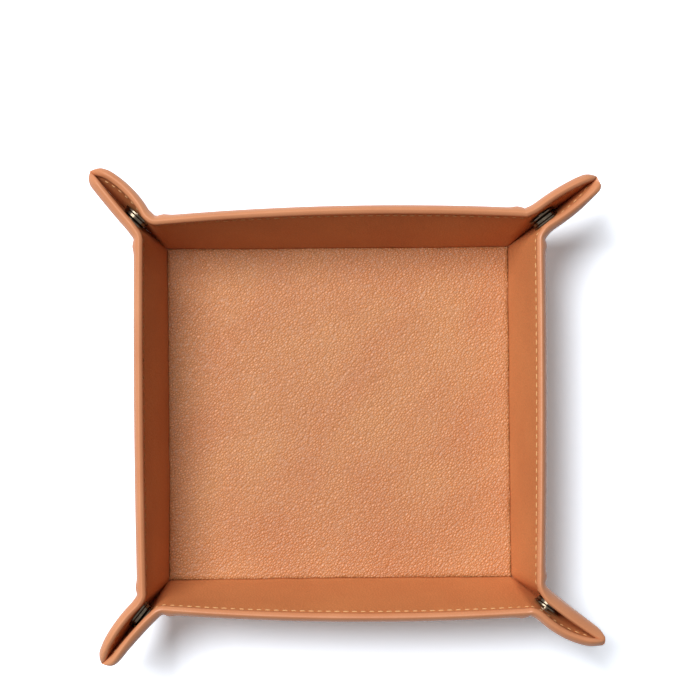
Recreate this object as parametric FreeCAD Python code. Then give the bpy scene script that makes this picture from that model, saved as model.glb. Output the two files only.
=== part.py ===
import FreeCAD, Part
import math
import os
from FreeCAD import Matrix, Placement, Rotation, Vector

# Valet tray: one leather-covered sheet folded up into four walls, with each
# corner pinched into a standing ear that a press stud holds shut.
# Origin at the middle of the underside, +Z up, -Y is the front.

# Driving dimensions, in millimetres and degrees.
floor_width = 128.0        # crease to crease, left to right
floor_depth = 124.0        # crease to crease, front to back
wall_height = 37.5         # crease to rim, along the wall
outer_leather = 1.2
stiffener = 1.1
lining = 1.0
wall_lean = 11.7           # walls lean outwards from upright
corner_radius = 10.0       # rounding of the cut sheet's corners
ear_opening = 8.0          # each ear half leans off the ear's middle plane
flat_sum = 87.6            # sheet angle taken up at a corner; 90 less clearance
rim_bow = {"front": 2.7, "right": 0.6, "back": 2.7, "left": 0.6}
# Plan angle of each ear from the line of the wall before it.
ear_bearing = {"front_right": 36.0, "back_right": 53.0, "back_left": 43.0, "front_left": 39.0}

fold_gap = 0.15            # each side of a crease
bend_relief = 1.0          # angle by which a fold strip stops short of its wall
apex_gap = 4.0             # ears stop short of the floor corner
hem = 2.4                  # outer leather turned over the rim
board_inset = 3.0          # board edges back from creases and rim
glue_line = 0.05           # each side of a wall's board

stitch_pitch = 3.1
stitch_length = 2.2
thread_diameter = 0.7
stitch_inset = 4.2         # stitch line below the rim
thread_gap = 0.03          # stitch to leather

snap_diameter = 10.5
snap_along = 26.0          # snap centre along the ear's fold from the floor corner
snap_above = 9.0           # snap centre above the ear's fold
snap_seat = 1.6            # from the ear's middle plane to each snap half's seat
stud_flange = 0.7
flange_chamfer = 0.3
stud_head = 4.8            # diameter of the stud's bulb
head_chamfer = 0.5
stud_neck = 4.2
snap_clearance = 0.35      # bulb to socket, all round
face_gap = 0.1             # socket face to stud flange
socket_floor = 0.5
socket_step = 0.5          # chamfer and set-back of the socket's outer edge
cap_diameter = 9.0
cap_thickness = 0.6
cap_depth = 1.0            # hidden cap below the snap half's seat
shank_diameter = 3.0

# Sizes worked out from those above.
sheet = outer_leather + stiffener + lining
bead = 0.48 * sheet
tip_reach = (wall_height - corner_radius) / math.cos(math.radians(flat_sum / 2)) + corner_radius
up = Vector(0, 0, 1)

wall_order = ["front", "right", "back", "left"]
outward = {
    "front": Vector(0, -1, 0),
    "right": Vector(1, 0, 0),
    "back": Vector(0, 1, 0),
    "left": Vector(-1, 0, 0),
}
half_length = {
    "front": floor_width / 2,
    "right": floor_depth / 2,
    "back": floor_width / 2,
    "left": floor_depth / 2,
}
crease_offset = {
    "front": floor_depth / 2,
    "right": floor_width / 2,
    "back": floor_depth / 2,
    "left": floor_width / 2,
}
corner_walls = {
    "front_right": ("front", "right"),
    "back_right": ("right", "back"),
    "back_left": ("back", "left"),
    "front_left": ("left", "front"),
}


def sine(angle):
    return math.sin(math.radians(angle))


def cosine(angle):
    return math.cos(math.radians(angle))


def angle_between(first, second):
    return math.degrees(first.getAngle(second))


def frame(origin, along, normal):
    across = normal.cross(along)
    rows = [(along.x, across.x, normal.x, origin.x),
            (along.y, across.y, normal.y, origin.y),
            (along.z, across.z, normal.z, origin.z),
            (0, 0, 0, 1)]
    return Placement(Matrix(*[value for row in rows for value in row]))


def wall_axes(wall):
    """Along the wall, up its slope and out through it."""
    out = outward[wall]
    along = up.cross(out)
    slope = out * sine(wall_lean) + up * cosine(wall_lean)
    normal = out * cosine(wall_lean) - up * sine(wall_lean)
    return along, slope, normal


def crease_middle(wall):
    return outward[wall] * crease_offset[wall] + up * sheet


def corner_point(corner):
    before, after = corner_walls[corner]
    return crease_middle(before) + outward[after] * crease_offset[after]


def ear_half(wall, fold, rise, side_normal, toward_tip):
    """Crease line, outward normal and sheet angles of one ear half."""
    along, slope, wall_normal = wall_axes(wall)
    normal = side_normal * cosine(ear_opening) - rise * sine(ear_opening)
    crease = wall_normal.cross(normal).normalize()
    if crease.z < 0:
        crease = crease * -1
    spill = math.degrees(math.atan2(crease.dot(along) * toward_tip, crease.dot(slope)))
    return {
        "wall": wall,
        "crease": crease,
        "normal": normal,
        "wall_normal": wall_normal,
        "spill": spill,
        "spread": angle_between(crease, fold),
        "side": toward_tip,
    }


def ear_at_elevation(corner, elevation):
    before, after = corner_walls[corner]
    bearing = ear_bearing[corner]
    ahead = outward[after] * cosine(bearing) + outward[before] * sine(bearing)
    aside = outward[before] * cosine(bearing) - outward[after] * sine(bearing)
    fold = ahead * cosine(elevation) + up * sine(elevation)
    rise = up * cosine(elevation) - ahead * sine(elevation)
    halves = [ear_half(before, fold, rise, aside, 1), ear_half(after, fold, rise, aside * -1, -1)]
    used = sum(half["spill"] + half["spread"] for half in halves)
    return {"fold": fold, "rise": rise, "aside": aside, "halves": halves, "used": used}


def solve_ear(corner):
    """Ear whose two halves use up the sheet's corner, so that it lies flat when opened."""
    low, high = 15.0, 80.0
    for _ in range(60):
        middle = (low + high) / 2
        ear = ear_at_elevation(corner, middle)
        if ear["used"] > flat_sum:
            low = middle
        else:
            high = middle
    return ear


def mitre(half):
    """Plane normal between a wall and its ear half, from the wall to the ear."""
    bisector = half["wall_normal"] + half["normal"]
    return half["crease"].cross(bisector).normalize() * half["side"]


def trim_beyond(shape, point, direction):
    """Cut away everything past a plane, a fold gap short of it."""
    size = 4 * (floor_width + wall_height)
    block = Part.makeBox(size, size, size, Vector(-size / 2, -size / 2, 0))
    block.Placement = Placement(point - direction * fold_gap, Rotation(up, direction))
    return shape.cut(block)


def rim_reach(wall, ears):
    """From the wall's middle to just past the further end of its rim."""
    spill = max(half["spill"] for ear in ears.values() for half in ear["halves"] if half["wall"] == wall)
    return half_length[wall] + wall_height * math.tan(math.radians(spill)) + 4 * fold_gap


def loft_wall(wall, reach, section):
    """Loft a wall layer along its length, leaning further out at the middle by the bow."""
    bow = math.degrees(math.atan2(rim_bow[wall], wall_height))
    wires = []
    for station, lean in ((-reach, 0), (0, bow), (reach, 0)):
        wire = section.copy()
        wire.rotate(Vector(0, 0, 0), Vector(1, 0, 0), lean)
        wire.translate(Vector(station, 0, 0))
        wires.append(wire)
    return Part.makeLoft(wires, True, False)


def rectangle(low, high, inner, outer):
    corners = [Vector(0, low, inner), Vector(0, high, inner), Vector(0, high, outer), Vector(0, low, outer)]
    return Part.makePolygon(corners + corners[:1])


def hemmed_section():
    """Outer leather of a wall: its sheet, turned over the rim in a rounded bead."""
    back = lining + stiffener
    shoulder = wall_height - sheet / 2
    over = Part.Arc(Vector(0, shoulder, sheet), Vector(0, wall_height, sheet / 2), Vector(0, shoulder, 0))
    path = [Vector(0, shoulder, 0), Vector(0, wall_height - hem, 0), Vector(0, wall_height - hem, back),
            Vector(0, fold_gap, back), Vector(0, fold_gap, sheet), Vector(0, shoulder, sheet)]
    return Part.Wire([over.toShape()] + Part.makePolygon(path).Edges)


def stitch(x, y, z):
    radius = thread_diameter / 2
    straight = stitch_length - thread_diameter
    start = Vector(x - straight / 2, y, z)
    end = Vector(x + straight / 2, y, z)
    core = Part.makeCylinder(radius, straight, start, Vector(1, 0, 0))
    return core.fuse([Part.makeSphere(radius, start), Part.makeSphere(radius, end)]).removeSplitter()


def wall_stitching(wall, reach):
    """Both faces of the stitch line, following the bow of the rim."""
    bow = math.degrees(math.atan2(rim_bow[wall], wall_height))
    count = int((2 * half_length[wall] - stitch_pitch) / stitch_pitch)
    stand_off = thread_diameter / 2 + thread_gap
    stitches = []
    for index in range(count):
        x = (index - (count - 1) / 2) * stitch_pitch
        lean = bow * (1 - (x / reach) ** 2)
        for z in (-stand_off, sheet + stand_off):
            one = stitch(x, wall_height - stitch_inset, z)
            one.rotate(Vector(x, 0, 0), Vector(1, 0, 0), lean)
            stitches.append(one)
    return Part.makeCompound(stitches)


def build_wall(wall, ears):
    along, slope, normal = wall_axes(wall)
    reach = rim_reach(wall, ears)
    board_face = lining + glue_line
    board_back = lining + stiffener - glue_line
    core = rectangle(board_inset, wall_height - board_inset, board_face, board_back)
    layers = {
        "outer_leather": loft_wall(wall, reach, hemmed_section()),
        "board": loft_wall(wall, reach, core),
        "lining": loft_wall(wall, reach, rectangle(fold_gap, wall_height - hem, 0, lining)),
    }
    seat = frame(crease_middle(wall), along, normal)
    for name in layers:
        layers[name].Placement = seat
    for corner, ear in ears.items():
        for half in ear["halves"]:
            if half["wall"] != wall:
                continue
            for name in ("outer_leather", "lining"):
                layers[name] = trim_beyond(layers[name], corner_point(corner), mitre(half))
            inset = corner_point(corner) - mitre(half) * board_inset
            layers["board"] = trim_beyond(layers["board"], inset, mitre(half))
    layers["stitching"] = wall_stitching(wall, reach)
    layers["stitching"].Placement = seat
    for name, shape in layers.items():
        export(shape, f"{wall}_wall_{name}")


def ear_outline(half, margin):
    """Face of an ear half in its own plane: crease up Y, tip to +X or -X, rim set in by margin."""
    side = half["side"]
    spill, spread = half["spill"], half["spread"]
    fold_cosine = cosine(spill + spread)
    radius = (wall_height - tip_reach * fold_cosine) / (1 - fold_cosine)
    fold = Vector(sine(spread), cosine(spread), 0)
    rim_normal = Vector(-sine(spill), cosine(spill), 0)
    centre = fold * (tip_reach - radius)
    crease_top = Vector(0, (wall_height - margin) / cosine(spill), 0)
    arc_start = centre + rim_normal * (radius - margin)
    arc_middle = centre + (rim_normal + fold).normalize() * (radius - margin)
    tip = centre + fold * (radius - margin)
    points = [Vector(0, apex_gap, 0), crease_top, arc_start, arc_middle, tip, fold * apex_gap]
    foot, crease_top, arc_start, arc_middle, tip, fold_foot = [Vector(p.x * side, p.y, 0) for p in points]
    edges = [
        Part.makeLine(foot, crease_top),
        Part.makeLine(crease_top, arc_start),
        Part.Arc(arc_start, arc_middle, tip).toShape(),
        Part.makeLine(tip, fold_foot),
        Part.makeLine(fold_foot, foot),
    ]
    return Part.Face(Part.Wire(edges))


def round_ear(plate, half):
    """Round the ear's rim over, and the outer side of its fold."""
    side = half["side"]
    fold = Vector(sine(half["spread"]) * side, cosine(half["spread"]), 0)
    across = Vector(fold.y, -fold.x, 0)
    rounded = []
    for edge in plate.Edges:
        middle = edge.valueAt((edge.FirstParameter + edge.LastParameter) / 2)
        level = edge.BoundBox.ZLength < 1e-6
        on_crease = abs(middle.x) < 1e-6
        at_foot = Vector(middle.x, middle.y, 0).Length < 1.2 * apex_gap
        on_fold = abs(middle.dot(across)) < 1e-6
        if level and not on_crease and not at_foot and not (on_fold and middle.z < sheet / 2):
            rounded.append(edge)
    return plate.makeFillet(bead, rounded)


def build_ear_half(corner, ear, half, fittings):
    origin = corner_point(corner)
    seat = frame(origin, half["crease"].cross(half["normal"]), half["normal"])
    plate = round_ear(ear_outline(half, 0).extrude(up * sheet), half)
    skin = ear_outline(half, hem).extrude(up * lining)
    outer = plate.cut(skin)
    for name, shape in (("outer_leather", outer), ("lining", skin)):
        shape.Placement = seat
        shape = trim_beyond(shape, origin, mitre(half) * -1)
        shape = trim_beyond(shape, origin, ear["aside"] * -half["side"])
        shape = shape.cut(fittings)
        export(shape, f"{corner}_ear_{half['wall']}_{name}")


def revolve(profile):
    """Turn a profile of (radius, height) points about Z."""
    points = [Vector(radius, 0, height) for radius, height in profile]
    face = Part.Face(Part.makePolygon(points + points[:1]))
    return face.revolve(Vector(0, 0, 0), up, 360)


def snap_cap():
    """Hidden rivet behind a snap half: a disc inside the sheet and its shank."""
    low = snap_seat
    disc = low + cap_depth
    return revolve([(0, low), (shank_diameter / 2, low), (shank_diameter / 2, disc), (cap_diameter / 2, disc),
                    (cap_diameter / 2, disc + cap_thickness), (0, disc + cap_thickness)])


def snap_socket():
    face = -snap_seat + stud_flange + face_gap
    rim = snap_diameter / 2
    bore = stud_head / 2 + snap_clearance
    step = socket_step
    inner_floor = snap_seat - socket_floor
    return revolve([(bore, face), (rim - 2 * step, face), (rim - step, face + step),
                    (rim - step, snap_seat - 2 * step), (rim, snap_seat - step), (rim, snap_seat),
                    (0, snap_seat), (0, inner_floor), (bore, inner_floor)])


def snap_stud():
    top = -snap_seat + stud_flange
    head = snap_seat - socket_floor - snap_clearance
    swell = (top + head) / 2
    rim = snap_diameter / 2
    bulb = stud_head / 2
    return revolve([(0, -snap_seat), (rim, -snap_seat), (rim, top - flange_chamfer),
                    (rim - flange_chamfer, top), (stud_neck / 2, top), (bulb, swell),
                    (bulb, head - head_chamfer), (bulb - head_chamfer, head), (0, head)])


def build_snap(corner, ear):
    """Snap in the ear's middle plane, socket on the half of the wall before the corner."""
    centre = corner_point(corner) + ear["fold"] * snap_along + ear["rise"] * snap_above
    front = frame(centre, ear["fold"], ear["aside"])
    rear = frame(centre, ear["fold"], ear["aside"] * -1)
    pieces = {
        "socket": (snap_socket(), front),
        "socket_cap": (snap_cap(), front),
        "stud": (snap_stud(), front),
        "stud_eyelet": (snap_cap(), rear),
    }
    for name, (shape, seat) in pieces.items():
        shape.Placement = seat
        export(shape, f"{corner}_snap_{name}")
    pocket = Part.makeCylinder(snap_diameter / 2, 2 * snap_seat, Vector(0, 0, -snap_seat))
    pocket.Placement = front
    return [pocket, pieces["socket_cap"][0], pieces["stud_eyelet"][0]]


def build_fold_strip(wall):
    """Outer leather bent round the bottom edge, between the floor and the wall."""
    along = up.cross(outward[wall])
    sweep = 90 - wall_lean - math.degrees(math.atan2(rim_bow[wall], wall_height)) - bend_relief
    length = 2 * half_length[wall] - 2 * apex_gap
    inner = lining + stiffener
    ring = Part.makeCylinder(sheet, length, Vector(0, 0, 0), up, sweep)
    core = Part.makeCylinder(inner, length, Vector(0, 0, 0), up, sweep)
    strip = ring.cut(core)
    start = crease_middle(wall) + along * (length / 2)
    strip.Placement = frame(start, up * -1, along * -1)
    export(strip, f"{wall}_fold_strip")


def build_floor():
    def panel(inset, low, thickness):
        corner = Vector(-floor_width / 2 + inset, -floor_depth / 2 + inset, low)
        return Part.makeBox(floor_width - 2 * inset, floor_depth - 2 * inset, thickness, corner)

    export(panel(0, 0, outer_leather), "floor_outer_leather")
    export(panel(board_inset, outer_leather, stiffener), "floor_board")
    export(panel(0, outer_leather + stiffener, lining), "floor_lining")


def export(shape, node):
    shape.exportStep(f"parts/{node}.step")


def main():
    os.makedirs("parts", exist_ok=True)
    ears = {corner: solve_ear(corner) for corner in corner_walls}
    build_floor()
    for wall in wall_order:
        build_wall(wall, ears)
        build_fold_strip(wall)
    for corner, ear in ears.items():
        fittings = build_snap(corner, ear)
        for half in ear["halves"]:
            build_ear_half(corner, ear, half, fittings)


main()
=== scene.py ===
import math
import random
import bpy
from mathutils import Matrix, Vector, noise


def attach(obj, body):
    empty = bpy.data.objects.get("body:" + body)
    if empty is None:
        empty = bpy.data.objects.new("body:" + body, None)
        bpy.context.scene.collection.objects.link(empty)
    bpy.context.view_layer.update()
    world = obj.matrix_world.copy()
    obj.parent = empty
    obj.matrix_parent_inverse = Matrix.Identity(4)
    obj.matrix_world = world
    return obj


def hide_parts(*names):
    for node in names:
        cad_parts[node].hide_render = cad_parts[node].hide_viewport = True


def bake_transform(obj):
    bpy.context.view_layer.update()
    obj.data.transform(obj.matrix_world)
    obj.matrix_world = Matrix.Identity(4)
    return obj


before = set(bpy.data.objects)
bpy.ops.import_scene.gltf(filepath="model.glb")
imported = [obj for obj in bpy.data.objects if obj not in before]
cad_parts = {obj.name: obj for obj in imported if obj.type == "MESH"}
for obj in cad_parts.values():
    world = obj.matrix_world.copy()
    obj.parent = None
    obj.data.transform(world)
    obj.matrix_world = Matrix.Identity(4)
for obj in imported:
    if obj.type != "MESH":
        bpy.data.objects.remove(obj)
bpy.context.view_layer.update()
mm = 0.001
up = Vector((0, 0, 1))

tray = {  # the cut sheet and how it folds, as in the solids
    "floorWidth": 128 * mm,
    "floorDepth": 124 * mm,
    "wallHeight": 37.5 * mm,  # crease to rim along the wall
    "outerLeather": 1.2 * mm,
    "board": 1.1 * mm,
    "lining": 1.0 * mm,
    "wallLean": 11.7,  # degrees outwards from upright
    "cornerRadius": 10 * mm,  # of the flat sheet's corners, which become the ears' tips
    "earOpening": 8.0,  # degrees that each ear half stands off the ear's middle plane
    "flatSum": 87.6,  # degrees of sheet that a corner takes up
    "rimBow": {"front": 2.7 * mm, "right": 0.6 * mm, "back": 2.7 * mm, "left": 0.6 * mm},
    "earBearing": {"front_right": 36.0, "back_right": 53.0, "back_left": 43.0, "front_left": 39.0},
    "hem": 2.4 * mm,  # outer leather turned over the rim
    "creaseGap": 0.03 * mm,
}
thickness = tray["outerLeather"] + tray["board"] + tray["lining"]
wallHeight = tray["wallHeight"]
straightReach = (wallHeight - tray["cornerRadius"]) / math.cos(math.radians(tray["flatSum"] / 2))
tipReach = straightReach + tray["cornerRadius"]  # from the floor corner to an ear's tip

wallOrder = ["front", "right", "back", "left"]
outward = {
    "front": Vector((0, -1, 0)),
    "right": Vector((1, 0, 0)),
    "back": Vector((0, 1, 0)),
    "left": Vector((-1, 0, 0)),
}
halfWidth, halfDepth = tray["floorWidth"] / 2, tray["floorDepth"] / 2
halfLength = {"front": halfWidth, "right": halfDepth, "back": halfWidth, "left": halfDepth}
creaseOffset = {"front": halfDepth, "right": halfWidth, "back": halfDepth, "left": halfWidth}
cornerWalls = {
    "front_right": ("front", "right"),
    "back_right": ("right", "back"),
    "back_left": ("back", "left"),
    "front_left": ("left", "front"),
}


def smooth(t):
    t = min(max(t, 0), 1)
    return t * t * (3 - 2 * t)


def wallAxes(wall, lean):  # along the wall, up its slope, out of its face
    out = outward[wall]
    slope = out * math.sin(lean) + up * math.cos(lean)
    normal = out * math.cos(lean) - up * math.sin(lean)
    return up.cross(out), slope, normal


def creaseMiddle(wall):
    return outward[wall] * creaseOffset[wall] + up * thickness


def cornerPoint(corner):
    before, after = cornerWalls[corner]
    return creaseMiddle(before) + outward[after] * creaseOffset[after]


restLean = math.radians(tray["wallLean"])
opening = math.radians(tray["earOpening"])


def earHalf(corner, wall, fold, rise, aside, side):
    along, slope, wallNormal = wallAxes(wall, restLean)
    normal = aside * math.cos(opening) - rise * math.sin(opening)
    crease = wallNormal.cross(normal).normalized()
    if crease.z < 0:
        crease = -crease
    return {
        "corner": corner,
        "wall": wall,
        "side": side,  # -1 at the wall's start, 1 at its end
        "origin": cornerPoint(corner),
        "fold": fold,
        "crease": crease,
        "wallNormal": wallNormal,
        "normal": normal,
        "across": crease.cross(wallNormal) * side,  # in the wall, square to the crease, to the tip
        "reach": crease.cross(normal) * side,  # the same in the ear
        "spill": math.atan2(crease.dot(along) * side, crease.dot(slope)),  # slope to crease
        "spread": crease.angle(fold),  # crease to fold
        "turn": wallNormal.angle(normal),
    }


def earAt(corner, elevation):
    before, after = cornerWalls[corner]
    bearing = math.radians(tray["earBearing"][corner])
    ahead = outward[after] * math.cos(bearing) + outward[before] * math.sin(bearing)
    aside = outward[before] * math.cos(bearing) - outward[after] * math.sin(bearing)
    fold = ahead * math.cos(elevation) + up * math.sin(elevation)
    rise = up * math.cos(elevation) - ahead * math.sin(elevation)
    first = earHalf(corner, before, fold, rise, aside, 1)
    return [first, earHalf(corner, after, fold, rise, -aside, -1)]


foldSearch = {"lowest": 15, "highest": 80, "tries": 50}  # degrees above level


def solveEar(corner):  # the elevation at which the two halves use up the sheet's corner
    low, high = math.radians(foldSearch["lowest"]), math.radians(foldSearch["highest"])
    for _ in range(foldSearch["tries"]):
        middle = (low + high) / 2
        pair = earAt(corner, middle)
        if sum(half["spill"] + half["spread"] for half in pair) > math.radians(tray["flatSum"]):
            low = middle
        else:
            high = middle
    return pair


halves = [half for corner in cornerWalls for half in solveEar(corner)]
print("folds solved for", len(halves), "ear halves")


# materials

def toLinear(hexCode):
    parts = [int(hexCode[i:i + 2], 16) / 255 for i in (1, 3, 5)]
    return [c / 12.92 if c <= 0.04045 else ((c + 0.055) / 1.055) ** 2.4 for c in parts] + [1]


def addNode(tree, kind, links=None, **settings):
    node = tree.nodes.new("ShaderNode" + kind)
    for name, value in settings.items():
        if hasattr(node, name):
            setattr(node, name, value)
        else:
            node.inputs[name.replace("_", " ")].default_value = value
    for name, source in (links or {}).items():
        tree.links.new(source, node.inputs[name])
    return node


def newMaterial(name):
    material = bpy.data.materials.new(name)
    material.use_nodes = True
    tree = material.node_tree
    tree.nodes.clear()
    return material, tree


hide = {  # what the three leathers share
    "skew": math.radians(45),  # the grain runs askew
    "warpWave": 2.2,  # pebbles
    "warpReach": 0.9,  # pebbles
    "cellSoftness": 0.35,
    "cloud": 22 * mm,  # patches of paler and deeper tan
    "cloudStops": (0.3, 0.72),
    "groove": 0.22,  # pebbles
    "glossier": 0.08,
    "duller": 0.12,
    "domeHeight": 0.3,  # pebbles
    "grooveDepth": 0.25,  # pebbles
    "poreHeight": 0.3,  # pores
    "sheen": 0.05,
}


# vegetable-tanned cowhide: low gloss, shiny on the pebbles, its colour darkened in the valleys as
# painted shade
def leather(name, look):
    material, tree = newMaterial(name)
    pebble, pore, grainDepth = look["pebble"], look["pore"], look["grain"]
    spot = addNode(tree, "TexCoord").outputs["Object"]
    place = addNode(tree, "Mapping", {"Vector": spot}, vector_type="TEXTURE",
                    Rotation=(0, 0, hide["skew"]), Scale=(look["stretch"], 1, 1)).outputs["Vector"]
    warp = addNode(tree, "TexNoise", {"Vector": place},
                   Scale=1 / (pebble * hide["warpWave"]), Detail=2.0)
    bent = addNode(tree, "VectorMath", {0: warp.outputs["Color"]},
                   operation="SCALE", Scale=pebble * hide["warpReach"])
    moved = addNode(tree, "VectorMath", {0: place, 1: bent.outputs["Vector"]},
                    operation="ADD").outputs["Vector"]
    cells = addNode(tree, "TexVoronoi", {"Vector": moved}, feature="SMOOTH_F1",
                    Scale=1 / pebble, Smoothness=hide["cellSoftness"])
    valleys = addNode(tree, "TexVoronoi", {"Vector": moved}, feature="DISTANCE_TO_EDGE",
                      Scale=1 / pebble)
    pores = addNode(tree, "TexNoise", {"Vector": place}, Scale=1 / pore, Detail=4.0, Roughness=0.65)
    clouds = addNode(tree, "TexNoise", {"Vector": place}, Scale=1 / hide["cloud"], Detail=3.0)
    tone = addNode(tree, "ValToRGB", {"Fac": clouds.outputs["Fac"]})
    colours = look["deep"], look["tan"]
    for stop, at, colour in zip(tone.color_ramp.elements, hide["cloudStops"], colours):
        stop.position = at
        stop.color = toLinear(colour)
    # painted shade: the valleys darken the colour, and the same map also shapes the grain's bump
    groove = addNode(tree, "MapRange", {"Value": valleys.outputs["Distance"]},
                     From_Max=hide["groove"], To_Min=look["valleyShade"], To_Max=1.0)
    shade = addNode(tree, "MixRGB", {"Color1": tone.outputs["Color"],
                                     "Color2": groove.outputs["Result"]},
                    blend_type="MULTIPLY", Fac=1.0)
    gloss = addNode(tree, "MapRange", {"Value": pores.outputs["Fac"]},
                    To_Min=look["rough"] - hide["glossier"], To_Max=look["rough"] + hide["duller"])
    domes = addNode(tree, "Bump", {"Height": cells.outputs["Distance"]}, invert=True,
                    Strength=grainDepth, Distance=pebble * hide["domeHeight"])
    grain = addNode(tree, "Bump", {"Height": groove.outputs["Result"],
                                   "Normal": domes.outputs["Normal"]},
                    Strength=grainDepth, Distance=pebble * hide["grooveDepth"])
    fine = addNode(tree, "Bump", {"Height": pores.outputs["Fac"],
                                  "Normal": grain.outputs["Normal"]},
                   Strength=look["poreDepth"], Distance=pore * hide["poreHeight"])
    skin = addNode(tree, "BsdfPrincipled", {"Base Color": shade.outputs["Color"],
                                            "Roughness": gloss.outputs["Result"],
                                            "Normal": fine.outputs["Normal"]},
                   IOR=1.5, Specular_IOR_Level=look["shine"],
                   Sheen_Weight=hide["sheen"], Sheen_Tint=toLinear(look["tan"]))
    addNode(tree, "OutputMaterial", {"Surface": skin.outputs["BSDF"]})
    return material


# valleyShade: how dark the painted shade in the grain's valleys makes the colour
floorLook = {"tan": "#D8935B", "deep": "#CF834E", "pebble": 0.74 * mm, "stretch": 1.6,
             "pore": 0.28 * mm, "grain": 1.0, "poreDepth": 0.3, "valleyShade": 0.68,
             "rough": 0.42, "shine": 0.55}
wallLook = {"tan": "#D88C57", "deep": "#CF8250", "pebble": 0.9 * mm, "stretch": 1.0,
            "pore": 0.3 * mm, "grain": 0.32, "poreDepth": 0.6, "valleyShade": 0.9,
            "rough": 0.52, "shine": 0.35}
outerLook = {"tan": "#DA9468", "deep": "#D0875C", "pebble": 0.9 * mm, "stretch": 1.0,
             "pore": 0.2 * mm, "grain": 0.1, "poreDepth": 0.18, "valleyShade": 0.96,
             "rough": 0.36, "shine": 0.4}
pebbledLeather = leather("pebbledLiningLeather", floorLook)
wallLeather = leather("smoothLiningLeather", wallLook)
outerSkin = leather("turnedOuterLeather", outerLook)


threadLook = {"deep": "#CE9558", "pale": "#EDC084", "twist": 0.35 * mm, "plyDepth": 0.1 * mm,
              "rough": 0.55, "sheen": 0.3}


def waxedThread(look):  # bonded polyester sewing thread: pale, twisted, a soft sheen
    material, tree = newMaterial("waxedSewingThread")
    place = addNode(tree, "TexCoord").outputs["Object"]
    twist = addNode(tree, "TexNoise", {"Vector": place}, Scale=1 / look["twist"], Detail=2.0)
    tone = addNode(tree, "ValToRGB", {"Fac": twist.outputs["Fac"]})
    for stop, colour in zip(tone.color_ramp.elements, (look["deep"], look["pale"])):
        stop.color = toLinear(colour)
    ply = addNode(tree, "Bump", {"Height": twist.outputs["Fac"]},
                  Strength=0.5, Distance=look["plyDepth"])
    fibre = addNode(tree, "BsdfPrincipled", {"Base Color": tone.outputs["Color"],
                                             "Normal": ply.outputs["Normal"]},
                    Roughness=look["rough"], Sheen_Weight=look["sheen"])
    addNode(tree, "OutputMaterial", {"Surface": fibre.outputs["BSDF"]})
    return material


# the snap's tones are darkened as painted shade, standing in for dark surroundings in the metal's
# reflection
snapShadedLook = {"dark": "#362F28", "light": "#746859", "scuff": 1.2 * mm, "glossy": 0.16, "dull": 0.32}


def nickel(look):  # nickel-plated brass, its colour darkened as painted shade for the dark surroundings it would mirror, with a warm cast and faint scuffs
    material, tree = newMaterial("platedNickelSnap")
    place = addNode(tree, "TexCoord").outputs["Object"]
    scuff = addNode(tree, "TexNoise", {"Vector": place},
                    Scale=1 / look["scuff"], Detail=5.0, Roughness=0.7)
    gloss = addNode(tree, "MapRange", {"Value": scuff.outputs["Fac"]},
                    To_Min=look["glossy"], To_Max=look["dull"])
    tone = addNode(tree, "ValToRGB", {"Fac": scuff.outputs["Fac"]})
    for stop, colour in zip(tone.color_ramp.elements, (look["dark"], look["light"])):
        stop.color = toLinear(colour)
    metal = addNode(tree, "BsdfPrincipled", {"Base Color": tone.outputs["Color"],
                                             "Roughness": gloss.outputs["Result"]}, Metallic=1.0)
    addNode(tree, "OutputMaterial", {"Surface": metal.outputs["BSDF"]})
    return material


boardLook = {"dark": "#8A8172", "light": "#A79D8C", "pulp": 0.8 * mm, "rough": 0.9}


def greyBoard(look):  # pressed grey board: matt, speckled with pulp
    material, tree = newMaterial("pressedGreyBoard")
    place = addNode(tree, "TexCoord").outputs["Object"]
    pulp = addNode(tree, "TexNoise", {"Vector": place}, Scale=1 / look["pulp"], Detail=4.0)
    tone = addNode(tree, "ValToRGB", {"Fac": pulp.outputs["Fac"]})
    for stop, colour in zip(tone.color_ramp.elements, (look["dark"], look["light"])):
        stop.color = toLinear(colour)
    card = addNode(tree, "BsdfPrincipled", {"Base Color": tone.outputs["Color"]},
                   Roughness=look["rough"])
    addNode(tree, "OutputMaterial", {"Surface": card.outputs["BSDF"]})
    return material


thread, snapMetal, board = waxedThread(threadLook), nickel(snapShadedLook), greyBoard(boardLook)
print("materials made")


# meshes

def makeMesh(name, points, faces, material):
    mesh = bpy.data.meshes.new(name)
    mesh.from_pydata([tuple(p) for p in points], [], faces)
    mesh.materials.append(material)
    mesh.validate()
    mesh.update()
    capEdges = set()
    for polygon in mesh.polygons:  # end caps stay flat, so that seams between pieces vanish
        polygon.use_smooth = len(polygon.vertices) < 5
        if not polygon.use_smooth:
            capEdges.update(polygon.edge_keys)
    for edge in mesh.edges:
        edge.use_edge_sharp = edge.key in capEdges
    piece = bpy.data.objects.new(name, mesh)
    bpy.context.scene.collection.objects.link(piece)
    return piece


def ringMesh(name, rings, material, flip):  # closed loops joined in a row, capped at both ends
    count = len(rings[0])
    points = [p for ring in rings for p in ring]
    faces = []
    for i in range(len(rings) - 1):
        for j in range(count):
            k = (j + 1) % count
            quad = (i * count + j, i * count + k, (i + 1) * count + k, (i + 1) * count + j)
            faces.append(quad[::-1] if flip else quad)
    first = tuple(range(count))
    last = tuple((len(rings) - 1) * count + j for j in range(count))
    faces += [first if flip else first[::-1], last[::-1] if flip else last]
    return makeMesh(name, points, faces, material)


relief = {
    "wave": 17 * mm,
    "depth": 0.16 * mm,
    "fine": 5 * mm,
    "fineDepth": 0.05 * mm,
    "calm": 14 * mm,  # it dies away this close to the rim
}


def handled(point):  # the soft unevenness of folded leather, as an offset along the sheet's normal
    broad = noise.noise(point / relief["wave"]) * relief["depth"]
    return broad + noise.noise(point / relief["fine"]) * relief["fineDepth"]


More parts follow.
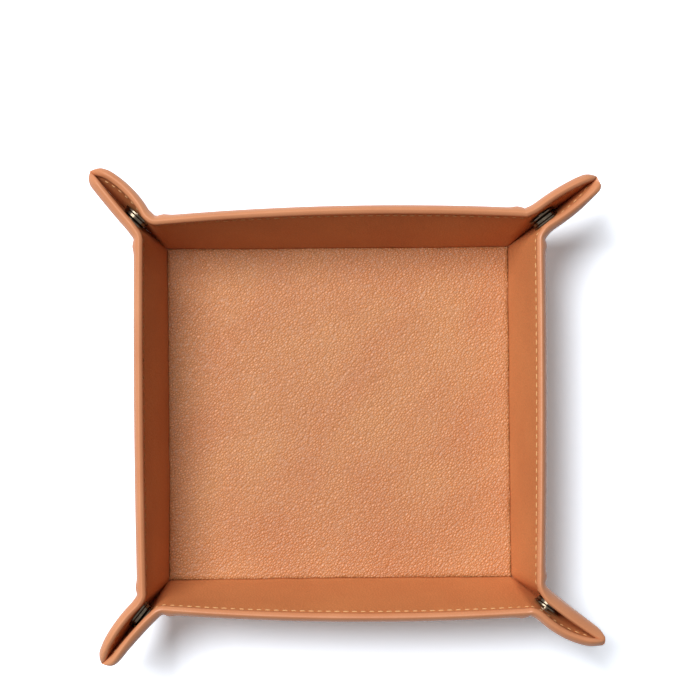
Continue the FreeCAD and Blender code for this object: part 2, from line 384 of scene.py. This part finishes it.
bead = {  # the turned rim: a gable whose crest lies nearer to the lining
    "crest": 0.75 * mm,
    "outerDrop": 2.7 * mm,
    "innerDrop": 1.3 * mm,
    "proud": 0.45 * mm,  # the turned edge stands this far in front of the lining
    "steps": 32,
    "wallGable": 1.35,  # a half round at 1.0, two slopes with a rounded crest above that
    "tipGable": 1.0,  # the ears' tips are blunter
}
hem = tray["hem"]


# (below the rim, out from the lining face), from the outer face over the bead to the hem
def beadProfile(gable):
    crest, proud = bead["crest"], bead["proud"]
    profile = []
    for step in range(bead["steps"] + 1):
        turn = math.pi * (step / bead["steps"] - 0.5)
        drop = bead["outerDrop"] if turn < 0 else bead["innerDrop"]
        side = thickness - crest if turn < 0 else crest + proud
        lean = math.copysign(abs(math.sin(turn)) ** gable, turn)
        profile.append((drop * (1 - math.cos(turn) ** gable), crest - side * lean))
    cutEdge = [(hem - 0.25 * mm, -proud * 0.9), (hem - 0.03 * mm, -proud * 0.4), (hem, 0.4 * mm)]
    return profile + cutEdge


liningProfile = [  # the lining's top edge, rolled in under the hem
    (hem + 0.95 * mm, 0),
    (hem + 0.6 * mm, 0.1 * mm),
    (hem + 0.3 * mm, 0.3 * mm),
    (hem + 0.1 * mm, 0.6 * mm),
    (hem + 0.05 * mm, tray["lining"]),
]
profileStart = 4.0 * mm  # where the sheet ends and the rim's own profile begins
sheetSteps = 26


def sheetRows(profile, face, back):  # (share of the height to profileStart, below the rim, offset)
    rows = [(i / sheetSteps, None, face) for i in range(sheetSteps + 1)]
    rows += [(None, below, offset) for below, offset in profile]
    return rows + [(i / sheetSteps, None, back) for i in range(sheetSteps, -1, -1)]


outerBack = tray["lining"] + 0.02 * mm
outerRows = sheetRows(beadProfile(bead["wallGable"]), thickness, outerBack)
tipRows = sheetRows(beadProfile(bead["tipGable"]), thickness, outerBack)
liningRows = sheetRows(liningProfile, 0, tray["lining"])
layers = [  # name, rows in the walls, rows at an ear's tip, leather, and whether it is inside out
    ("outer_leather", outerRows, tipRows, outerSkin, False),
    ("lining", liningRows, liningRows, wallLeather, True),
]

ear = {
    "strip": 9 * mm,  # of the wall beside the crease, made with the ear
    "stripSteps": 15,
    "stripEase": 1.4,
    "fanSteps": 40,
    "bluntFrom": 35,  # the stations over which the rim's profile becomes the tip's
    "bluntOver": 14,
    "bendLeast": 3.6 * mm,  # the bend is tight at the floor corner, softest at half height
    "bendMost": 7.0 * mm,
    "bendSpan": 41 * mm,
    "bendEnd": 0.95,  # and firm again at the rim
    "apex": 0.15 * mm,
    "bunch": 0.5 * mm,
    "bunchBefore": 3.6 * mm,
    "bunchWidth": 1.9 * mm,
    "overFold": math.radians(0.25),  # each half runs past the fold, to narrow the flat sheet's slit
}
earSway = {  # mm that each half's rim stands off its plane: by the snap, in the middle, by the tip
    ("front_right", "front"): (1.4, 2.6, 1.3),
    ("front_right", "right"): (-3.2, -2.5, -1.1),
    ("back_right", "right"): (-0.2, 1.4, 2.1),
    ("back_right", "back"): (0.8, 1.3, 0.7),
    ("back_left", "back"): (0.5, 2.6, 2.2),
    ("back_left", "left"): (-0.8, -0.6, -0.5),
    ("front_left", "left"): (0.1, 1.1, 0.6),
    ("front_left", "front"): (-1.0, -0.5, 0.9),
}
swayForm = {
    "bend": 10 * mm,  # how far along the fold the sway begins
    "slant": 0.8,
    "snapShare": 0.2,  # of the way to the tip
    "stepShare": 0.3,  # from the snap to the middle, and on to the tip
    "stepLeast": -0.25,
    "tipRoom": 1 * mm,
    "outwardEase": 1.2,
    "inwardEase": 3.2,  # higher keeps an inward sway nearer to the rim, clear of the snaps
    "before": 2 * mm,  # from here before the crease the ear's own sway takes over from its wall's
    "over": 9 * mm,
    "driftOver": 6 * mm,
}
# mm by which a tip is pinched shorter
tipTuck = {"front_right": -1.3, "back_right": -0.9, "back_left": 0.3, "front_left": 1.4}
# mm that a tip leans, towards the side of its first wall
tipLean = {"front_right": 0.0, "back_right": -0.2, "back_left": 1.4, "front_left": 0.2}
# mm outwards, start and end of each rim
rimDrift = {"front": (-0.4, 2.1), "right": (-0.8, 0.6), "back": (1.4, -0.9), "left": (-0.1, -0.5)}
driftPast = 0.1  # share of its length that a wall's drift runs on past its ends
bowPast = 5 * mm


def bendAt(half, y):  # inner radius of the bend, and its reach to each side of the crease
    swell = math.sin(math.pi * min(max(y / ear["bendSpan"], 0), ear["bendEnd"]))
    radius = ear["bendLeast"] + (ear["bendMost"] - ear["bendLeast"]) * swell
    return radius, radius * math.tan(half["turn"] / 2)


def folded(half, x, y, out):  # sheet coordinates about the crease to their place in the tray
    radius, tangent = bendAt(half, y)
    foot = half["origin"] + half["crease"] * y
    if x <= -tangent:
        return foot + half["across"] * x + half["wallNormal"] * out
    if x >= tangent:
        return foot + half["reach"] * x + half["normal"] * out
    turn = half["turn"] * (x + tangent) / (2 * tangent)
    centre = foot - half["across"] * tangent + half["wallNormal"] * radius
    spoke = half["across"] * math.sin(turn) - half["wallNormal"] * math.cos(turn)
    return centre + spoke * (radius - out)


def aboveFold(half, x, y):
    return -x * math.cos(half["spread"]) + y * math.sin(half["spread"])


def foldRound(half, x, y):  # the sheet thins into its own fold, which is a full round
    edge = half["spread"] + ear["overFold"]
    share = min(max((y * math.sin(edge) - x * math.cos(edge)) / thickness, 0.0), 1.0)
    return math.sqrt(1 - (1 - share) ** 2) if x > 0 else 1.0


def bell(value, middle, width):
    return math.exp(-((value - middle) / width) ** 2)


def driftAt(wall, along, height):  # walls bow outwards and stand a little askew, more at the rim
    start, end = rimDrift[wall]
    share = min(max(along / (2 * halfLength[wall]) + 0.5, -driftPast), 1 + driftPast)
    bow = tray["rimBow"][wall] * max(1 - (along / (halfLength[wall] + bowPast)) ** 2, 0)
    return ((start + (end - start) * share) * mm + bow) * height / wallHeight


def swayAt(half, x, y):  # soft leather past the bend, as an offset outwards
    near, middle, far = earSway[half["corner"], half["wall"]]
    spill, spread = half["spill"], half["spread"]
    rise = max(aboveFold(half, x, y), 0)
    along = x * math.sin(spread) + y * math.cos(spread)
    bend = swayForm["bend"]
    share = (along - rise * swayForm["slant"] - bend) / (tipReach - bend)
    share = min(max(share, 0), 1)  # from the bend to the tip
    t = max((share - swayForm["snapShare"]) / swayForm["stepShare"], swayForm["stepLeast"])
    sway = near * (1 - t) * (2 - t) / 2 + middle * t * (2 - t) + far * t * (t - 1) / 2
    crest = wallHeight * math.sin(spread) * (1 - share) + swayForm["tipRoom"]  # fold to rim here
    ease = swayForm["outwardEase"] if sway > 0 else swayForm["inwardEase"]
    lift = min(rise / crest, 1) ** ease
    ahead = smooth((x + swayForm["before"]) / swayForm["over"])
    height = -x * math.sin(spill) + y * math.cos(spill)
    beside = halfLength[half["wall"]] + x * math.cos(spill) + y * math.sin(spill)
    drift = driftAt(half["wall"], half["side"] * beside, max(height, 0))
    lean = half["side"] * tipLean[half["corner"]] * share ** 2
    wallShare = (1 - ahead) * smooth(rise / swayForm["driftOver"])
    return (sway * lift + lean) * mm * ahead + drift * wallShare


def earBunch(x, height):  # the outer leather gathers in front of the bend
    swell = bell(x, -ear["bunchBefore"], ear["bunchWidth"])
    return ear["bunch"] * swell * smooth(height / wallHeight)


def earArc(half):  # the rounded end of the rim: its radius, and its centre's reach along the fold
    bend = math.cos(half["spill"] + half["spread"])
    reach = tipReach - tipTuck[half["corner"]] * mm
    radius = (wallHeight - reach * bend) / (1 - bend)
    return radius, reach - radius


def rimPoint(half, angle):  # on the cut edge of the ear, with the edge's outward direction
    spill, spread = half["spill"], half["spread"]
    ray = Vector((math.sin(angle), math.cos(angle)))
    square = Vector((-math.sin(spill), math.cos(spill)))
    radius, centreReach = earArc(half)
    centre = Vector((math.sin(spread), math.cos(spread))) * centreReach
    straight = ray * (wallHeight / ray.dot(square))
    level = Vector((math.cos(spill), math.sin(spill)))
    if (straight - centre).dot(level) <= 0:
        return straight, square
    middle = ray.dot(centre)
    beyond = math.sqrt(max(middle * middle - centre.length_squared + radius * radius, 0))
    point = ray * (middle + beyond)
    return point, (point - centre).normalized()


# lines across the sheet (base, rim, outward at the rim): in the wall beside the crease, then a fan
def earStations(half):
    spill, spread = half["spill"], half["spread"]
    square = Vector((-math.sin(spill), math.cos(spill)))
    upright = Vector((0, 1 / math.cos(spill)))
    stations = []
    for i in range(ear["stripSteps"]):
        share = i / ear["stripSteps"]
        x = -ear["strip"] * (1 - share) ** ear["stripEase"]
        foot = Vector((x, x * math.tan(spill) + tray["creaseGap"] / math.cos(spill)))
        rim = Vector((x, wallHeight / math.cos(spill) + x * math.tan(spill)))
        stations.append((foot, rim, upright.lerp(square, share ** 2)))
    for i in range(ear["fanSteps"] + 1):
        angle = (spread + ear["overFold"]) * math.sin(math.pi / 2 * i / ear["fanSteps"])
        rim, normal = rimPoint(half, angle)
        base = Vector((math.sin(angle), math.cos(angle))) * ear["apex"]
        stations.append((base, rim, normal))
    return stations


def earRing(half, station, rows, endRows, atTip):
    base, rim, normal = station
    shoulder = rim - normal * profileStart
    ring = []
    for (share, below, out), (_, endBelow, endOut) in zip(rows, endRows):
        if below is not None:
            below, out = below + (endBelow - below) * atTip, out + (endOut - out) * atTip
        spot = base.lerp(shoulder, share) if below is None else rim - normal * below
        x, y = spot
        soft = handled(folded(half, x, y, 0)) * smooth((rim - spot).length / relief["calm"])
        gather = earBunch(x, y) * (out / thickness) ** 2
        offset = (out + soft + gather) * foldRound(half, x, y) + swayAt(half, x, y)
        ring.append(folded(half, x, y, offset))
    return ring


def bodyName(half):
    return f"{half['corner']}_ear_{half['wall']}"


def blendEar(piece):
    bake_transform(piece)


for half in halves:
    stations = earStations(half)
    for layer, rows, endRows, skin, flip in layers:
        rings = []
        for i, station in enumerate(stations):
            atTip = smooth((i - ear["bluntFrom"]) / ear["bluntOver"])
            rings.append(earRing(half, station, rows, endRows, atTip))
        turned = flip if half["side"] == 1 else not flip
        piece = ringMesh(f"{bodyName(half)}_{layer}_skin", rings, skin, turned)
        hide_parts(f"{bodyName(half)}_{layer}")
        blendEar(piece)
print("ears folded")


def wallEnds(wall):  # the ear halves at the wall's start and end
    start = next(half for half in halves if half["wall"] == wall and half["side"] == -1)
    end = next(half for half in halves if half["wall"] == wall and half["side"] == 1)
    return start, end


def endReach(half, height):  # from the wall's middle to the ear piece, at a height up the slope
    spill = half["spill"]
    low = halfLength[half["wall"]] - ear["strip"] * math.cos(spill)
    return low + (height - ear["strip"] * math.sin(spill)) * math.tan(spill)


creaseWear = {  # along the floor the wall is drawn in unevenly
    "wave": 7 * mm,
    "height": 1.2 * mm,
    "depth": 0.22 * mm,
    "ends": 9,  # it dies away in this part of the length at each end
}


def wallPoint(wall, share, height, out):
    start, end = wallEnds(wall)
    low, high = -endReach(start, height), endReach(end, height)
    along = low + (high - low) * share
    direction, slope, normal = wallAxes(wall, restLean)
    spot = creaseMiddle(wall) + direction * along + slope * height
    soft = handled(spot) * smooth((wallHeight - height) / relief["calm"])
    ends = creaseWear["ends"]
    wear = (1 + noise.noise(spot / creaseWear["wave"])) * math.exp(-height / creaseWear["height"])
    wear *= min(1, ends * share, ends - ends * share)
    offset = out + soft - creaseWear["depth"] * wear + driftAt(wall, along, height)
    return spot + normal * offset


def rowHeight(share, below):  # up the slope from the crease
    foot = tray["creaseGap"]
    if below is None:
        return foot + (wallHeight - profileStart - foot) * share
    return wallHeight - below


wallStations = 110
for wall in wallOrder:
    for layer, rows, _, skin, flip in layers:
        rings = []
        for i in range(wallStations + 1):
            rings.append([wallPoint(wall, i / wallStations, rowHeight(share, below), out)
                          for share, below, out in rows])
        piece = ringMesh(f"{wall}_wall_{layer}_skin", rings, skin, flip)
        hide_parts(f"{wall}_wall_{layer}")
        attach(piece, f"{wall}_wall")

wallBoard = {  # the stiffening boards follow their walls' bow
    "heights": [(3 + 4.5 * k) * mm for k in range(8)],
    "front": 1.05 * mm,
    "back": 2.05 * mm,
    "beyond": 0.5 * mm,  # past the wall's skins at each end
    "stations": 40,
}
for wall in wallOrder:
    start, end = wallEnds(wall)
    section = [(height, wallBoard["front"]) for height in wallBoard["heights"]]
    section += [(height, wallBoard["back"]) for height in reversed(wallBoard["heights"])]
    rings = []
    for i in range(wallBoard["stations"] + 1):
        ring = []
        for height, out in section:
            beyond = wallBoard["beyond"] / (endReach(start, height) + endReach(end, height))
            share = i / wallBoard["stations"] * (1 + 2 * beyond) - beyond
            ring.append(wallPoint(wall, share, height, out))
        rings.append(ring)
    piece = ringMesh(f"{wall}_wall_board_core", rings, board, True)
    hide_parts(f"{wall}_wall_board")
    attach(piece, f"{wall}_wall")
print("walls skinned")


floorSheet = {
    "cells": 96,
    "edgeShares": [0, 0.12, 0.35, 0.65],  # grid lines in the rolled edge
    "liningRoll": 1.6 * mm,
    "liningDrop": 0.4 * mm,
    "outerRoll": 0.1 * mm,
    "outerDrop": 0.1 * mm,
    "flatUnder": 0.5 * mm,  # a sheet with a narrower roll than this is left flat
    "riseMost": 0.1 * mm,
    "rollWave": 6 * mm,
    "rollUneven": 0.6,
}


def gridLines(half, roll):
    inner, cells = half - roll, floorSheet["cells"]
    middle = [-inner + 2 * inner * i / cells for i in range(cells + 1)]
    edge = [roll * share for share in floorSheet["edgeShares"]]
    return [-half + e for e in edge] + middle + [half - e for e in reversed(edge)]


def slab(name, low, high, roll, rollDrop, material):  # its top edges are rolled into the creases
    xs, ys = gridLines(halfWidth, roll), gridLines(halfDepth, roll)
    points, faces = [], []
    for y in ys:
        for x in xs:
            depth = min(halfWidth - abs(x), halfDepth - abs(y), roll)
            patch = noise.noise(Vector((x, y, 0)) / floorSheet["rollWave"])
            drop = rollDrop * (1 - depth / roll) ** 2 * (1 + floorSheet["rollUneven"] * patch)
            soft = 0
            if roll > floorSheet["flatUnder"]:
                soft = handled(Vector((x, y, high))) * smooth(depth / roll)
            points.append(Vector((x, y, high - drop + min(soft, floorSheet["riseMost"]))))
    wide = len(xs)
    for row in range(len(ys) - 1):
        for col in range(wide - 1):
            i = row * wide + col
            faces.append((i, i + 1, i + 1 + wide, i + wide))
    border = list(range(wide)) + [row * wide + wide - 1 for row in range(1, len(ys))]
    border += [(len(ys) - 1) * wide + col for col in range(wide - 2, -1, -1)]
    border += [row * wide for row in range(len(ys) - 2, 0, -1)]
    base = len(points)
    points += [Vector((points[i].x, points[i].y, low)) for i in border]
    for k in range(len(border)):
        n = (k + 1) % len(border)
        faces.append((border[n], border[k], base + k, base + n))
    faces.append(tuple(base + k for k in range(len(border) - 1, -1, -1)))
    return makeMesh(name, points, faces, material)


floorLining = slab("floor_lining_skin", tray["outerLeather"] + tray["board"], thickness,
                   floorSheet["liningRoll"], floorSheet["liningDrop"], pebbledLeather)
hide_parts("floor_lining")
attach(floorLining, "floor")
floorOuter = slab("floor_outer_leather_skin", 0, tray["outerLeather"],
                  floorSheet["outerRoll"], floorSheet["outerDrop"], outerSkin)
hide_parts("floor_outer_leather")
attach(floorOuter, "floor")

foldStrip = {"stations": 60, "arcSteps": 10}
stripInner = thickness - tray["outerLeather"]
for wall in wallOrder:  # outer leather bent round the bottom edges
    direction, slope, normal = wallAxes(wall, restLean)
    span = math.radians(90) - restLean
    arc = []
    for j in range(foldStrip["arcSteps"] + 1):
        turn = span * j / foldStrip["arcSteps"]
        arc.append(outward[wall] * math.sin(turn) - up * math.cos(turn))
    rings = []
    for i in range(foldStrip["stations"] + 1):
        along = halfLength[wall] * (2 * i / foldStrip["stations"] - 1)
        centre = creaseMiddle(wall) + direction * along
        ring = [centre + spoke * thickness for spoke in arc]
        rings.append(ring + [centre + spoke * stripInner for spoke in reversed(arc)])
    piece = ringMesh(f"{wall}_fold_strip_skin", rings, outerSkin, True)
    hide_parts(f"{wall}_fold_strip")
    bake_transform(piece)

knuckle = {  # outer leather drawn round each bottom corner
    "radius": thickness - 0.05 * mm,
    "top": 1.1 * mm,  # how far the cut lies below the crease
    "lowest": math.radians(88),
    "rings": 8,
    "around": 24,
}
pinch = {  # above the knuckle the leather is pinched into the ear, outside the wall's lining
    "reach": 2.9 * mm,
    "height": 3.0 * mm,
    "girth": 3.0 * mm,
    "behind": 0.3 * mm,  # it stays this far behind its wall's lining
    "from": 0.08,
    "over": 0.9,
    "lean": 0.45,
    "taper": 0.75,
    "rings": 8,
}
turns = [2 * math.pi * j / knuckle["around"] for j in range(knuckle["around"])]
spokes = [Vector((math.cos(turn), math.sin(turn), 0)) for turn in turns]
for corner in cornerWalls:
    point = cornerPoint(corner)
    cut = math.asin(knuckle["top"] / knuckle["radius"])
    rings = []
    for i in range(knuckle["rings"] + 1):
        dip = cut + (knuckle["lowest"] - cut) * i / knuckle["rings"]
        below = up * math.sin(dip)
        rings.append([point + (spoke * math.cos(dip) - below) * knuckle["radius"]
                      for spoke in spokes])
    piece = ringMesh(f"{corner}_corner_knuckle", rings, outerSkin, True)
    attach(piece, "floor")
    half = next(half for half in halves if half["corner"] == corner)
    ahead = Vector((half["fold"].x, half["fold"].y, 0)).normalized()
    rings = []
    for i in range(pinch["rings"] + 1):
        t = pinch["from"] + pinch["over"] * i / pinch["rings"]
        rise = up * (pinch["height"] * t - knuckle["top"])
        centre = point + ahead * (pinch["reach"] * t ** pinch["lean"]) + rise
        ring = []
        for spoke in spokes:
            spot = centre + spoke * (pinch["girth"] * (1 - t) ** pinch["taper"])
            inside = pinch["behind"] - (spot - point).dot(half["wallNormal"])
            ring.append(spot + half["wallNormal"] * max(inside, 0))
        rings.append(ring)
    piece = ringMesh(f"{corner}_corner_pinch", rings, outerSkin, False)
    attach(piece, half["wall"] + "_wall")
print("floor laid")


# stitching

stitching = {
    "pitch": 3.1 * mm,
    "length": 2.4 * mm,
    "thread": 0.6 * mm,
    "inset": 4.3 * mm,  # below the rim
    "sunkInside": 0.0 * mm,
    "sunkOutside": 0.15 * mm,
    "endDip": 0.2 * mm,  # both ends of a stitch go down into their holes
    "endGirth": 0.02,
    "flat": 0.8,  # the thread is pressed flatter than round
    "askew": 0.09,
    "shortest": 0.84,
    "longest": 1.04,
    "earSize": 0.8,
    "clearOfFold": 0.9,  # no stitch where the sheet is thinner than this
    "rings": 9,
    "around": 8,
}
random.seed(7)


def stitchMesh(spots, stout=1.0):  # a spindle of thread for each (middle, ahead, out, depth sunk)
    points, faces = [], []
    rings, around = stitching["rings"], stitching["around"]
    for middle, ahead, out, sunk in spots:
        side = out.cross(ahead)
        skew = random.uniform(-stitching["askew"], stitching["askew"])
        ahead = (ahead + side * skew).normalized()
        side = out.cross(ahead)
        base = len(points)
        stretch = random.uniform(stitching["shortest"], stitching["longest"])
        length = stitching["length"] * stout * stretch
        for i in range(rings):
            t = -1 + 2 * i / (rings - 1)
            taper = math.sqrt(max(1 - t ** 4, stitching["endGirth"]))
            girth = stout * stitching["thread"] / 2 * taper
            dip = -stitching["endDip"] * t ** 4
            centre = middle + ahead * (t * length / 2) + out * (dip - sunk)
            for j in range(around):
                turn = 2 * math.pi * j / around
                rise = girth * stitching["flat"] * math.sin(turn)
                points.append(centre + side * (girth * math.cos(turn)) + out * rise)
        for i in range(rings - 1):
            for j in range(around):
                k = (j + 1) % around
                faces.append((base + i * around + j, base + i * around + k,
                              base + (i + 1) * around + k, base + (i + 1) * around + j))
        faces.append(tuple(base + j for j in range(around - 1, -1, -1)))
        faces.append(tuple(base + (rings - 1) * around + j for j in range(around)))
    return points, faces


shareNudge, riseNudge, outNudge = 0.002, 0.2 * mm, 0.1 * mm  # small steps that give directions
for wall in wallOrder:
    spots = []
    height = wallHeight - stitching["inset"]
    start, end = wallEnds(wall)
    run = endReach(start, height) + endReach(end, height)
    count = round(run / stitching["pitch"])
    for i in range(count):
        share = (i + 0.5) / count
        for out in (0, thickness):
            here = wallPoint(wall, share, height, out)
            ahead = (wallPoint(wall, share + shareNudge, height, out) - here).normalized()
            rise = (wallPoint(wall, share, height + riseNudge, out) - here).normalized()
            face = ahead.cross(rise).normalized()
            sunk = stitching["sunkOutside" if out else "sunkInside"]
            spots.append((here, ahead, face if out else -face, sunk))
    piece = makeMesh(f"{wall}_wall_stitching_thread", *stitchMesh(spots), thread)
    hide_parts(f"{wall}_wall_stitching")
    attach(piece, f"{wall}_wall")

for half in halves:
    line = []  # the stitch line in sheet coordinates, from the wall into the ear
    for base, rim, normal in earStations(half):
        line.append(rim - normal * stitching["inset"])
    spots = []
    travelled, due = 0.0, stitching["pitch"] / 2
    for a, b in zip(line, line[1:]):
        step = (b - a).length
        while step > 0 and travelled + step >= due:
            x, y = a.lerp(b, (due - travelled) / step)
            nudge = (b - a).normalized() * riseNudge
            full = foldRound(half, x, y)
            sway = swayAt(half, x, y)
            outer = sway + (thickness + earBunch(x, y)) * full
            for face, out, sunk in ((-1, sway, "sunkInside"), (1, outer, "sunkOutside")):
                here = folded(half, x, y, out)
                ahead = (folded(half, x + nudge.x, y + nudge.y, out) - here).normalized()
                normal = (folded(half, x, y, out + outNudge) - here).normalized()
                if full > stitching["clearOfFold"]:
                    spots.append((here, ahead, normal * face, stitching[sunk]))
            due += stitching["pitch"]
        travelled += step
    stitches = stitchMesh(spots, stitching["earSize"])
    piece = makeMesh(f"{bodyName(half)}_stitching_thread", *stitches, thread)
    blendEar(piece)
print("stitched")


for name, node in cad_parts.items():  # solids that stay as they are
    if "_snap_" in name or name == "floor_board":
        node.data.materials.clear()
        node.data.materials.append(snapMetal if "_snap_" in name else board)


# studio

studio = {
    "cameraAt": (-13.14 * mm, -0.29 * mm, 900 * mm),
    "cameraTurn": (1.529, -1.1, -0.494),  # degrees
    "lens": 122.81,
    "sensor": 36,
    "keyFrom": (-0.36, 0.31, 0.88),  # direction towards the lamp
    "keyDistance": 2.5,
    "keySize": 1.45,
    "keyPower": 74.0,
    "skyTint": "#EAF0FF",
    "skyLight": 0.035,
    "paperSize": 6,
    "paperBelow": 0.1 * mm,
    "paperMatt": "#B4B4B4",  # what lights the tray from below
    "paperSeen": "#D4DAE2",
    "paperGlow": 0.22,
}

camera = bpy.data.objects.new("photoCamera", bpy.data.cameras.new("photoCamera"))
camera.location = studio["cameraAt"]
camera.rotation_euler = [math.radians(a) for a in studio["cameraTurn"]]
camera.data.lens = studio["lens"]
camera.data.sensor_width = studio["sensor"]
bpy.context.scene.collection.objects.link(camera)
bpy.context.scene.camera = camera

key = bpy.data.objects.new("softKey", bpy.data.lights.new("softKey", "AREA"))
key.data.shape = "DISK"
key.data.size = studio["keySize"]
key.data.energy = studio["keyPower"]
key.location = Vector(studio["keyFrom"]).normalized() * studio["keyDistance"]
key.rotation_euler = (-key.location).to_track_quat("-Z", "Y").to_euler()
bpy.context.scene.collection.objects.link(key)

bpy.ops.mesh.primitive_plane_add(size=studio["paperSize"], location=(0, 0, -studio["paperBelow"]))
ground = bpy.context.active_object
ground.name = "paleFloor"


def seenRays(tree):  # rays from the camera, straight, by reflection or through something clear
    rays = addNode(tree, "LightPath").outputs
    mirrored = addNode(tree, "Math", {0: rays["Is Camera Ray"], 1: rays["Is Glossy Ray"]},
                       operation="MAXIMUM")
    clear = addNode(tree, "Math", {0: mirrored.outputs[0], 1: rays["Is Transmission Ray"]},
                    operation="MAXIMUM")
    return clear.outputs[0]


# matt white paper that reads as white and keeps the shadow
paper, paperTree = newMaterial("paleBackdropPaper")
matt = addNode(paperTree, "BsdfDiffuse", Color=toLinear(studio["paperMatt"]))
cool = addNode(paperTree, "BsdfDiffuse", Color=toLinear(studio["paperSeen"]))
glow = addNode(paperTree, "Emission", Color=toLinear("#FFFFFF"), Strength=studio["paperGlow"])
twice = addNode(paperTree, "AddShader", {0: cool.outputs["BSDF"], 1: cool.outputs["BSDF"]})
bright = addNode(paperTree, "AddShader", {0: twice.outputs["Shader"], 1: glow.outputs["Emission"]})
shown = addNode(paperTree, "MixShader", {"Fac": seenRays(paperTree), 1: matt.outputs["BSDF"],
                                         2: bright.outputs["Shader"]})
addNode(paperTree, "OutputMaterial", {"Surface": shown.outputs["Shader"]})
ground.data.materials.append(paper)

world = bpy.data.worlds.new("studioWorld")
bpy.context.scene.world = world
world.use_nodes = True
worldTree = world.node_tree
worldTree.nodes.clear()
fill = addNode(worldTree, "Background", Color=toLinear(studio["skyTint"]),
               Strength=studio["skyLight"])
white = addNode(worldTree, "Background", Color=toLinear("#FFFFFF"), Strength=1.0)
sky = addNode(worldTree, "MixShader", {"Fac": seenRays(worldTree), 1: fill.outputs["Background"],
                                       2: white.outputs["Background"]})
addNode(worldTree, "OutputWorld", {"Surface": sky.outputs["Shader"]})
bpy.context.scene.view_settings.view_transform = "Standard"
print("studio lit")
